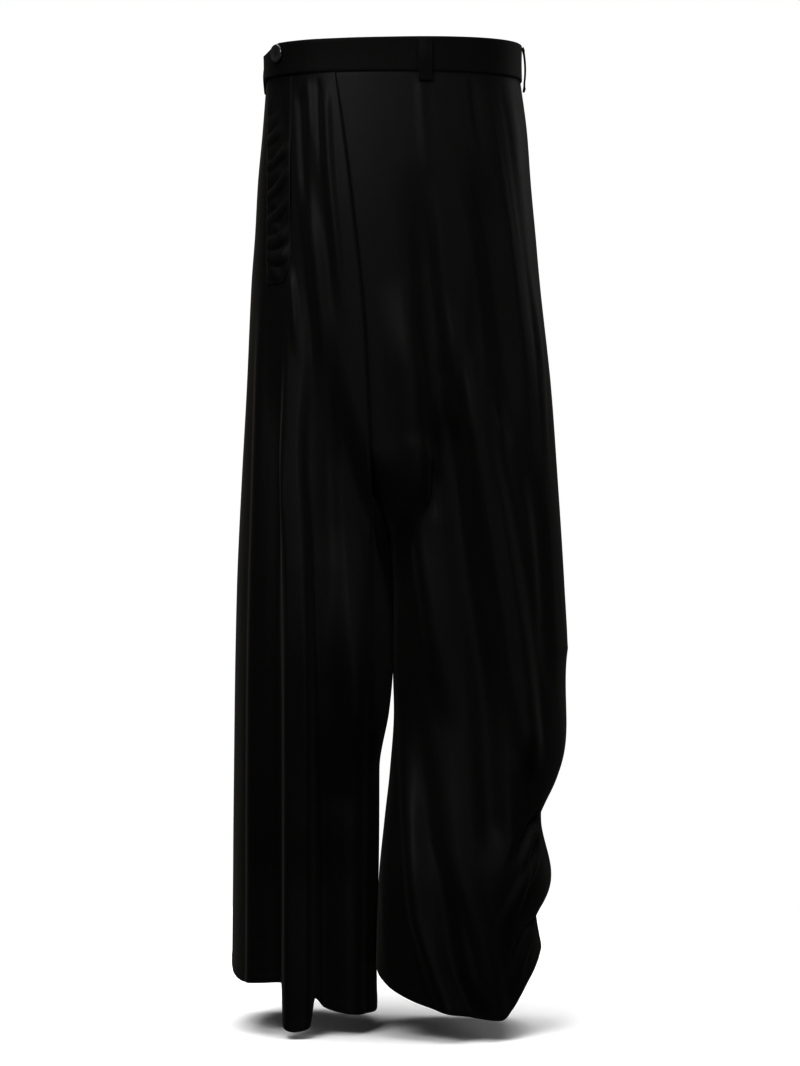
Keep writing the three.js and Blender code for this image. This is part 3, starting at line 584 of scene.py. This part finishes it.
def shell(name, middle, thickness, outwards, rounded=True):
    """A closed thin wall about a grid of points, rows by columns, with a map of the cloth in metres."""
    rows, columns = middle.shape[:2]
    down, across = np.gradient(middle, axis=0), np.gradient(middle, axis=1)
    normal = np.cross(down, across)
    normal *= outwards / np.linalg.norm(normal, axis=-1, keepdims=True)
    wall = np.broadcast_to(np.asarray(thickness, float), (rows, columns)).copy()
    if rounded:
        wall[[0, -1], :] *= RIM_WALL
        wall[1:-1, [0, -1]] *= RIM_WALL
    offset = normal * wall[..., None] / 2
    points = np.concatenate([(middle + offset).reshape(-1, 3), (middle - offset).reshape(-1, 3)]) * MM
    index = np.arange(rows * columns).reshape(rows, columns)
    quads = np.stack([index[:-1, :-1], index[1:, :-1], index[1:, 1:], index[:-1, 1:]], -1).reshape(-1, 4)
    inner = quads[:, ::-1] + rows * columns
    border = np.concatenate([index[0, :-1], index[:-1, -1], index[-1, :0:-1], index[:0:-1, 0]])
    following = np.roll(border, -1)
    rim = np.stack([border, following, following + rows * columns, border + rows * columns], -1)
    faces = np.concatenate([quads, inner, rim])
    if outwards < 0:
        faces = faces[:, ::-1]
    mesh = bpy.data.meshes.new(name)
    mesh.from_pydata(points.tolist(), [], faces.tolist())
    along = np.cumsum(np.linalg.norm(np.diff(middle, axis=1, prepend=middle[:, :1]), axis=-1), axis=1)
    fall = np.cumsum(np.linalg.norm(np.diff(middle, axis=0, prepend=middle[:1]), axis=-1), axis=0)
    chart = np.stack([along, -fall], -1).reshape(-1, 2) * MM
    chart = np.concatenate([chart, chart])
    layer = mesh.uv_layers.new(name="cloth")
    layer.data.foreach_set("uv", chart[faces.reshape(-1)].ravel())
    mesh.shade_smooth()
    mesh.set_sharp_from_angle(angle=SHARP_EDGE)
    return piece(name, mesh)


def piece(name, mesh):
    thing = bpy.data.objects.new(name, mesh)
    bpy.context.collection.objects.link(thing)
    return thing


def dress(thing, material, replaced=()):
    """Gives a piece its material and its body, and hides the solids that it stands for."""
    thing.data.materials.clear()
    thing.data.materials.append(material)
    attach(thing, "root")
    if replaced:
        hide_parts(*replaced)
    return thing


def hemmed(shares, points, side):
    """Thickness of a panel's cloth, which is doubled where the hem is turned up."""
    above = points[..., 2] - hem_at(side, shares)
    return CLOTH + HEM_EXTRA * (1 - ease((above - HEM_TURN) / HEM_STEP))


def make_panels(satin):
    grids = {
        "front_right_leg": ("right", front_right_grid()),
        "front_left_leg": ("left", front_left_grid()),
        "back_right_leg": ("right", back_grid("right")),
        "back_left_leg": ("left", back_grid("left")),
    }
    for node, (side, (points, shares)) in grids.items():
        panel = shell(node + "_cloth", points, hemmed(shares, points, side), SIGN[side])
        dress(panel, satin, [node])


def waist(side, share, offset, z):
    """Points on the waist's level ring, moved out."""
    out = directions(side, inside(share), TOP)[1]
    ring = plain(side, share, TOP) + out * offset[..., None]
    ring[..., 2] = z
    return ring


def band_top(x):
    dip = ease((-x - BAND_DIP["start"]) / (BAND_DIP["end"] - BAND_DIP["start"]))
    return BAND_HEIGHT / 2 + BAND_RISE_TO_LEFT * x - BAND_DIP["depth"] * dip


def rounded_edges(count):
    """Places from 0 to 1 across a strip, close together at its edges, and the wall's share there."""
    turn = np.linspace(0, np.pi / 2, ROUNDED["steps"])
    rim = ROUNDED["width"] * (1 - np.cos(turn))
    places = np.concatenate([rim, np.linspace(rim[-1], 1 - rim[-1], count)[1:-1], 1 - rim[::-1]])
    wall = np.concatenate([np.sin(turn), np.ones(count - 2), np.sin(turn[::-1])])
    return places, np.maximum(wall, ROUNDED["least"])


def make_band(satin):
    overlap, columns = BAND_OVERLAP, BAND_COLUMNS
    ramp_start, ramp_end = overlap["ramp_start"], overlap["ramp_end"]
    sides = [("right", np.linspace(overlap["inner_end"], 1, columns["inner"], endpoint=False), 0),
             ("left", np.linspace(1, 0, columns["left"], endpoint=False), 0),
             ("right", np.linspace(0, overlap["outer_end"], columns["outer"]), overlap["step"])]
    places, wall = rounded_edges(BAND_ROWS)
    stretches = []
    for side, shares, step in sides:
        offset = BAND_OUT + step * ease((shares - ramp_start) / (ramp_end - ramp_start))
        low = waist(side, shares, offset, -BAND_HEIGHT / 2)
        top = band_top(low[:, 0])
        strip = np.repeat(low[None], len(places), 0)
        strip[..., 2] = mix(top[None], -BAND_HEIGHT / 2, places[:, None])
        stretches.append(strip)
    grid = np.concatenate(stretches, 1)
    along = np.cumsum(np.linalg.norm(np.diff(grid[0], axis=0, prepend=grid[0][:1]), axis=-1))
    drift = BAND_FACE["drift"] * np.sin(along / BAND_FACE["drift_length"])
    wave = BAND_FACE["wave"] * np.sin(along / BAND_FACE["length"] + drift)
    hollow = BAND_FACE["hollow"] * np.sin(np.pi * places)[:, None] + wave[None]
    inward = np.cross(np.gradient(grid, axis=1), np.array([0, 0, 1]))
    inward /= np.linalg.norm(inward, axis=-1, keepdims=True)
    grid = grid + inward * hollow[..., None]
    band = shell("waistband_cloth", grid, BAND_WALL * wall[:, None], -1, rounded=False)
    dress(band, satin, ["waistband"])
    return band


def make_fly(satin):
    across, wall = rounded_edges(FLY["columns"])
    down, _ = rounded_edges(FLY["rows"])
    turned = 1 - np.clip(across / FLY["corner_share"], 0, 1)
    bottom = mix(FLY["corner"], FLY["bottom"], np.sqrt(1 - turned**2))
    z = mix(FLY["top"], bottom[None], down[:, None])
    inner, outer = (share_at("right", np.full_like(z, FLY[key]), z) for key in ("inner", "outer"))
    share = mix(inner, outer, across[None])
    out = directions("right", share, z)[1]
    height = np.zeros_like(z)
    for middle, tall, tilt, width, reach in zip(*PUCKERS.values()):
        bend = tilt * (across[None] - 0.5) - PUCKER["curve"] * np.sin(np.pi * across[None])
        q = np.clip(np.abs(z - middle - bend) / width, 0, 1)
        outwards = ease((across[None] - 1 + reach) / PUCKER["fade"])
        height = np.maximum(height, tall * outwards * (1 - q**2) ** PUCKER["power"])
    free = ease(across / PUCKER["inner_free"]) * ease((1 - across) / PUCKER["outer_free"])
    gape = FLY_GAPE["height"] * np.exp(-(((z - FLY_GAPE["z"]) / FLY_GAPE["length"]) ** 4))
    gape = gape * np.exp(-((across[None] / FLY_GAPE["share"]) ** 2))
    puff = FLY_PUFF["height"] * ease(np.minimum(across, 1 - across) / FLY_PUFF["share"])
    lift = CLOTH / 2 + FLY_GAP + puff[None]
    points = right_front(share, z) + out * (lift + height * free[None] + gape)[..., None]
    fly = shell("side_fly_cloth", points, FLY["wall"] * wall[None] * np.ones_like(z), -1)
    dress(fly, satin, ["side_fly"])
    return points, out


def make_loop(satin, name, side, share):
    across, wall = rounded_edges(LOOP["columns"])
    down, _ = rounded_edges(LOOP["rows"])
    run, out, _ = directions(side, share, TOP)
    top = band_top(plain(side, share, TOP)[0]) - LOOP["above"]
    bottom = -BAND_HEIGHT / 2 - LOOP["below"]
    z = mix(top, bottom, down)
    stand = LOOP["stand_off"] * np.sin(np.pi * down) ** LOOP["bow"]
    off = BAND_OUT + BAND_WALL / 2 + LOOP["wall"] / 2 + LOOP["gap"] + stand
    middle = plain(side, share, np.minimum(z, TOP)) + out * off[:, None]
    middle[:, 2] = z
    from_groove = (np.abs(across - 0.5) - LOOP_FACE["groove_at"]) / LOOP_FACE["groove_width"]
    crown = LOOP_FACE["crown"] * np.sin(np.pi * across) - LOOP_FACE["groove"] * np.exp(-(from_groove**2))
    points = middle[:, None] + run * ((across - 0.5) * LOOP["width"])[None, :, None]
    points = points + out * crown[None, :, None]
    turned = 1 + LOOP_TURN["extra"] * (1 - ease(np.minimum(down, 1 - down) / LOOP_TURN["share"]))
    loop = shell(name + "_cloth", points, LOOP["wall"] * wall[None] * turned[:, None], SIGN[side])
    dress(loop, satin, [name])
    return points, out


def stitch_mesh(name, ends, out, width=STITCH["width"]):
    """One raised thread for each pair of ends, as a small rounded bar."""
    rings, sides = STITCH["rings"], STITCH["sides"]
    points, faces = [], []
    for (start, end), up in zip(ends, out):
        run = end - start
        length = np.linalg.norm(run)
        run = run / length
        side = np.cross(run, up)
        first = len(points)
        for i in range(rings):
            q = i / (rings - 1)
            radius = width / 2 * mix(STITCH["tip"], 1, math.sin(math.pi * q))
            centre = start + run * length * q + up * STITCH["rise"] * math.sin(math.pi * q)
            for k in range(sides):
                turn = 2 * math.pi * k / sides
                points.append((centre + radius * (side * math.cos(turn) + up * math.sin(turn))) * MM)
        for i in range(rings - 1):
            for k in range(sides):
                a, b = first + i * sides + k, first + i * sides + (k + 1) % sides
                faces.append((a, b, b + sides, a + sides))
        faces.append([first + k for k in range(sides)][::-1])
        faces.append([first + (rings - 1) * sides + k for k in range(sides)])
    mesh = bpy.data.meshes.new(name)
    mesh.from_pydata([tuple(p) for p in points], [], faces)
    mesh.shade_smooth()
    return piece(name, mesh)


def along_line(points, out, pitch):
    """Ends of stitches at an even pitch along a line of points, and the direction out at each."""
    steps = np.linalg.norm(np.diff(points, axis=0), axis=-1)
    along = np.concatenate([[0], np.cumsum(steps)])
    starts = np.arange(pitch, along[-1] - pitch, pitch)

    def read(values, s):
        return np.array([np.interp(s, along, values[:, k]) for k in range(3)])

    ends = [(read(points, s), read(points, s + pitch * STITCH["share"])) for s in starts]
    return ends, [read(out, s) for s in starts]


def make_fly_stitches(thread, points, out):
    """The fly's row of stitches, down beside its front edge."""
    rows, column = slice(FLY_STITCHES["first"], FLY_STITCHES["last"]), FLY_STITCHES["column"]
    line = points[rows, column] + out[rows, column] * FLY_STITCHES["out"]
    ends, ups = along_line(line, out[rows, column], FLY_STITCHES["pitch"])
    dress(stitch_mesh("side_fly_stitches", ends, ups), thread)


def make_bartacks(thread, name, points, out):
    """Close stitches across both ends of a belt loop."""
    half = np.array([0, 0, BARTACK["half"]])
    ends = []
    for row in BARTACK["rows"]:
        for column in range(BARTACK["margin"], points.shape[1] - BARTACK["margin"]):
            here = points[row, column] + out * BARTACK["out"]
            ends.append((here + half, here - half))
    dress(stitch_mesh(name + "_bartacks", ends, [out] * len(ends), BARTACK["width"]), thread)


def lathe(name, section, segments=72):
    """A turned solid from half its section."""
    mesh = bpy.data.meshes.new(name)
    form = bmesh.new()
    rings = []
    for radius, height in section:
        if radius == 0:
            rings.append([form.verts.new((0, 0, height * MM))])
            continue
        turns = [2 * math.pi * k / segments for k in range(segments)]
        rings.append([form.verts.new((radius * math.cos(a) * MM, radius * math.sin(a) * MM, height * MM))
                      for a in turns])
    for a, b in zip(rings, rings[1:]):
        for k in range(segments):
            face = [a[k % len(a)], a[(k + 1) % len(a)], b[(k + 1) % len(b)], b[k % len(b)]]
            form.faces.new(list(dict.fromkeys(face)))
    bmesh.ops.recalc_face_normals(form, faces=form.faces)
    form.to_mesh(mesh)
    form.free()
    return piece(name, mesh)


def drilled(thing, holes):
    """Cuts the button's round holes through a piece."""
    drill = bmesh.new()
    radius = BUTTON["hole"] * MM
    for hole in holes:
        made = bmesh.ops.create_cone(drill, cap_ends=True, segments=BUTTON["hole_sides"], radius1=radius,
                                     radius2=radius, depth=DRILL_LENGTH)
        bmesh.ops.translate(drill, verts=made["verts"], vec=hole)
    mesh = bpy.data.meshes.new("drill")
    drill.to_mesh(mesh)
    drill.free()
    cutter = piece("drill", mesh)
    cut = thing.modifiers.new("holes", "BOOLEAN")
    cut.operation, cut.solver, cut.object = "DIFFERENCE", "EXACT", cutter
    graph = bpy.context.evaluated_depsgraph_get()
    cut_mesh = bpy.data.meshes.new_from_object(thing.evaluated_get(graph))
    thing.modifiers.clear()
    thing.data = cut_mesh
    bpy.data.objects.remove(cutter)


def button_frame():
    """The button's place on the buttoned end, and its turn to face out."""
    share = np.array([BUTTON["share"]])
    out = directions("right", share, TOP)[1][0]
    off = BAND_OUT + BAND_OVERLAP["step"] + BAND_WALL / 2 + BUTTON["off"]
    centre = waist("right", share, np.array([off]), BUTTON["z"])[0]
    turn = Vector((0, 0, 1)).rotation_difference(Vector(out))
    return centre, out, turn


def make_button(resin, thread):
    centre, out, turn = button_frame()
    button = lathe("waist_button_disc", BUTTON_SECTION)
    spread = BUTTON["hole_spread"] * MM
    holes = [Vector((x, y, 0)) * spread for x, y in BUTTON_HOLES]
    drilled(button, holes)
    button.data.transform(turn.to_matrix().to_4x4())
    button.data.transform(Matrix.Translation(Vector(centre * MM)))
    button.data.shade_smooth()
    button.data.set_sharp_from_angle(angle=BUTTON_SHARP_EDGE)
    dress(button, resin, ["waist_button"])
    ends, ups = [], []
    for pair in BUTTON_THREAD["pairs"]:
        for shift in BUTTON_THREAD["shifts"]:
            above = Vector((0, shift, BUTTON_THREAD["height"]))
            ends.append([np.array(turn @ (holes[hole] / MM + above)) + centre for hole in pair])
            ups.append(out)
    dress(stitch_mesh("waist_button_thread", ends, ups, BUTTON_THREAD["width"]), thread)


def make_buttonhole(thread):
    """Close stitches all round the slit that the button comes through."""
    centre, out, _ = button_frame()
    centre = centre - out * BUTTONHOLE["behind"]
    half, radius = BUTTONHOLE["half"], BUTTONHOLE["radius"]
    straight = np.linspace(-half, half, BUTTONHOLE["straight"])
    ring = [(x, radius) for x in straight] + [(x, -radius) for x in straight[::-1]]
    for k in range(1, BUTTONHOLE["round"]):
        a = math.pi * k / BUTTONHOLE["round"]
        ring.append((-half - radius * math.sin(a), radius * math.cos(a)))
        ring.append((half + radius * math.sin(a), radius * math.cos(a)))
    run = directions("right", np.array([BUTTON["share"]]), TOP)[0][0]
    ends, ups = [], []
    for x, y in ring:
        middle = centre + run * (x + BUTTONHOLE["shift"]) + np.array([0, 0, y])
        away = np.sign(y) * np.array([0, 0, 1]) if abs(x) <= half else run * np.sign(x)
        ends.append((middle - away * BUTTONHOLE["inner"], middle + away * BUTTONHOLE["outer"]))
        ups.append(out)
    dress(stitch_mesh("buttonhole_stitches", ends, ups, BUTTONHOLE["width"]), thread)


def nodes_of(name):
    material = bpy.data.materials.new(name)
    material.use_nodes = True
    tree = material.node_tree
    return material, tree.nodes, tree.links, tree.nodes["Principled BSDF"]


def noise(nodes, links, vector, scale, detail):
    texture = nodes.new("ShaderNodeTexNoise")
    texture.inputs["Scale"].default_value = scale
    texture.inputs["Detail"].default_value = detail
    links.new(vector, texture.inputs["Vector"])
    return texture.outputs["Fac"]


def stretched(nodes, links, vector, x, y):
    mapping = nodes.new("ShaderNodeMapping")
    mapping.inputs["Scale"].default_value = (x, y, 1)
    links.new(vector, mapping.inputs["Vector"])
    return mapping.outputs["Vector"]


def ranged(nodes, links, value, low, high):
    scale = nodes.new("ShaderNodeMapRange")
    scale.inputs["To Min"].default_value = low
    scale.inputs["To Max"].default_value = high
    links.new(value, scale.inputs["Value"])
    return scale.outputs["Result"]


def blend(nodes, links, share, first, second):
    """A colour between two others, by a share that other nodes give."""
    colour = nodes.new("ShaderNodeMix")
    colour.data_type = "RGBA"
    colour.inputs["A"].default_value = (*first, 1)
    colour.inputs["B"].default_value = (*second, 1)
    links.new(share, colour.inputs["Factor"])
    return colour.outputs["Result"]


def bumps(nodes, links, layers):
    """One bump node over another, for layers of height, distance in metres and strength."""
    bump = None
    for height, distance, strength in layers:
        node = nodes.new("ShaderNodeBump")
        node.inputs["Distance"].default_value = distance
        node.inputs["Strength"].default_value = strength
        links.new(height, node.inputs["Height"])
        if bump:
            links.new(bump, node.inputs["Normal"])
        bump = node.outputs["Normal"]
    return bump


def make_satin(name, specular, roughness):
    """Black satin: long warp floats that gloss down the cloth, faint slubs, and a soft sheen."""
    material, nodes, links, shader = nodes_of(name)
    chart = nodes.new("ShaderNodeTexCoord").outputs["UV"]
    floats = noise(nodes, links, stretched(nodes, links, chart, 2600, 260), 1, 2)
    slubs = noise(nodes, links, stretched(nodes, links, chart, 420, 34), 1, 3)
    clouds = noise(nodes, links, chart, 14, 3)
    colour = blend(nodes, links, ranged(nodes, links, slubs, 0.1, 0.9),
                   (0.0032, 0.003, 0.0029), (0.0062, 0.0056, 0.0053))
    links.new(colour, shader.inputs["Base Color"])
    links.new(ranged(nodes, links, clouds, *roughness), shader.inputs["Roughness"])
    shader.inputs["Specular IOR Level"].default_value = specular
    shader.inputs["Anisotropic"].default_value = 0.35
    shader.inputs["Sheen Weight"].default_value = 0.06
    shader.inputs["Sheen Roughness"].default_value = 0.4
    shader.inputs["Sheen Tint"].default_value = (1, 0.95, 0.9, 1)
    wave = nodes.new("ShaderNodeTexWave")
    wave.bands_direction = "DIAGONAL"
    wave.inputs["Scale"].default_value = 620
    wave.inputs["Distortion"].default_value = 0.6
    links.new(chart, wave.inputs["Vector"])
    layers = ((slubs, 0.00012, 0.35), (floats, 0.00005, 0.4), (wave.outputs["Fac"], 0.00004, 0.35))
    links.new(bumps(nodes, links, layers), shader.inputs["Normal"])
    return material


def make_thread():
    material, nodes, links, shader = nodes_of("black thread")
    place = nodes.new("ShaderNodeTexCoord").outputs["Object"]
    twist = noise(nodes, links, place, 2500, 2)
    colour = blend(nodes, links, twist, (0.004, 0.0039, 0.0039), (0.01, 0.0095, 0.009))
    links.new(colour, shader.inputs["Base Color"])
    shader.inputs["Roughness"].default_value = 0.5
    shader.inputs["Specular IOR Level"].default_value = 0.2
    return material


def make_resin():
    """Polished resin, so dark a grey that it reads as black, with faint swirls and a handled surface."""
    material, nodes, links, shader = nodes_of("black resin")
    place = nodes.new("ShaderNodeTexCoord").outputs["Object"]
    swirl = noise(nodes, links, place, 160, 4)
    handled = noise(nodes, links, place, 900, 3)
    colour = blend(nodes, links, swirl, (0.016, 0.016, 0.017), (0.045, 0.044, 0.043))
    links.new(colour, shader.inputs["Base Color"])
    links.new(ranged(nodes, links, handled, 0.16, 0.3), shader.inputs["Roughness"])
    shader.inputs["Specular IOR Level"].default_value = 0.45
    shader.inputs["Coat Weight"].default_value = 0.25
    shader.inputs["Coat Roughness"].default_value = 0.12
    return material


def make_stage():
    """A round pale floor just below the hems."""
    turns = [2 * math.pi * k / FLOOR["sides"] for k in range(FLOOR["sides"])]
    edge = [(FLOOR["radius"] * math.cos(a), FLOOR["radius"] * math.sin(a), FLOOR["z"]) for a in turns]
    mesh = bpy.data.meshes.new("floor")
    mesh.from_pydata(edge, [], [list(range(len(edge)))])
    floor = piece("floor", mesh)
    material, nodes, links, shader = nodes_of("pale floor")
    place = nodes.new("ShaderNodeTexCoord").outputs["Object"]
    colour = blend(nodes, links, noise(nodes, links, place, 3, 4), (0.9, 0.9, 0.9), (0.94, 0.94, 0.935))
    links.new(colour, shader.inputs["Base Color"])
    shader.inputs["Roughness"].default_value = 0.85
    shader.inputs["Specular IOR Level"].default_value = 0.15
    mesh.materials.append(material)
    floor.visible_glossy = False
    floor.visible_diffuse = False


def softbox(name, place, target, size, watts):
    data = bpy.data.lights.new(name, "AREA")
    data.shape = "RECTANGLE"
    data.size, data.size_y = size
    data.energy = watts
    lamp = bpy.data.objects.new(name, data)
    lamp.location = place
    lamp.rotation_euler = (Vector(target) - Vector(place)).to_track_quat("-Z", "Y").to_euler()
    bpy.context.collection.objects.link(lamp)


def make_lights():
    """White surroundings in the picture, which light the cloth only faintly, and soft lamps."""
    world = bpy.data.worlds.new("studio")
    world.use_nodes = True
    nodes, links = world.node_tree.nodes, world.node_tree.links
    background = nodes["Background"]
    background.inputs["Color"].default_value = (1, 1, 1, 1)
    seen = nodes.new("ShaderNodeLightPath").outputs["Is Camera Ray"]
    links.new(ranged(nodes, links, seen, WORLD["light"], WORLD["seen"]), background.inputs["Strength"])
    bpy.context.scene.world = world
    bpy.context.scene.view_settings.view_transform = "Standard"
    bpy.context.scene.view_settings.gamma = VIEW_GAMMA
    for lamp in LAMPS:
        softbox(*lamp)


def make_camera():
    """Level, four metres in front of the side seams, half-way down the trousers."""
    data = bpy.data.cameras.new("camera")
    data.sensor_width = CAMERA["film"]
    data.lens = CAMERA["focal_pixels"] / CAMERA["image_height"] * data.sensor_width
    data.clip_end = CAMERA["far"]
    camera = bpy.data.objects.new("camera", data)
    camera.location = CAMERA["place"]
    camera.rotation_euler = (math.pi / 2, 0, 0)
    bpy.context.collection.objects.link(camera)
    bpy.context.scene.camera = camera


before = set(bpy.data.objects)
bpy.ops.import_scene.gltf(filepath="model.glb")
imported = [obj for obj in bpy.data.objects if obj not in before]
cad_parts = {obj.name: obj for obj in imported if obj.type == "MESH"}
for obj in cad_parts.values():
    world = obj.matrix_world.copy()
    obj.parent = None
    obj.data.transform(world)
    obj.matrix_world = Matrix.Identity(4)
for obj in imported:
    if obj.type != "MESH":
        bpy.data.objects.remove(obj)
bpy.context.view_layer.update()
make_camera()
make_lights()
make_stage()
satin = make_satin("black satin", 0.11, (0.43, 0.53))
band_satin = make_satin("black satin across the grain", 0.06, (0.5, 0.58))
thread, resin = make_thread(), make_resin()
make_panels(satin)
make_band(band_satin)
fly_points, fly_out = make_fly(satin)
make_fly_stitches(thread, fly_points, fly_out)
for loop_name, loop_side, loop_share in LOOPS:
    loop_points, loop_out = make_loop(band_satin, loop_name, loop_side, loop_share)
    make_bartacks(thread, loop_name, loop_points, loop_out)
make_button(resin, thread)
make_buttonhole(thread)
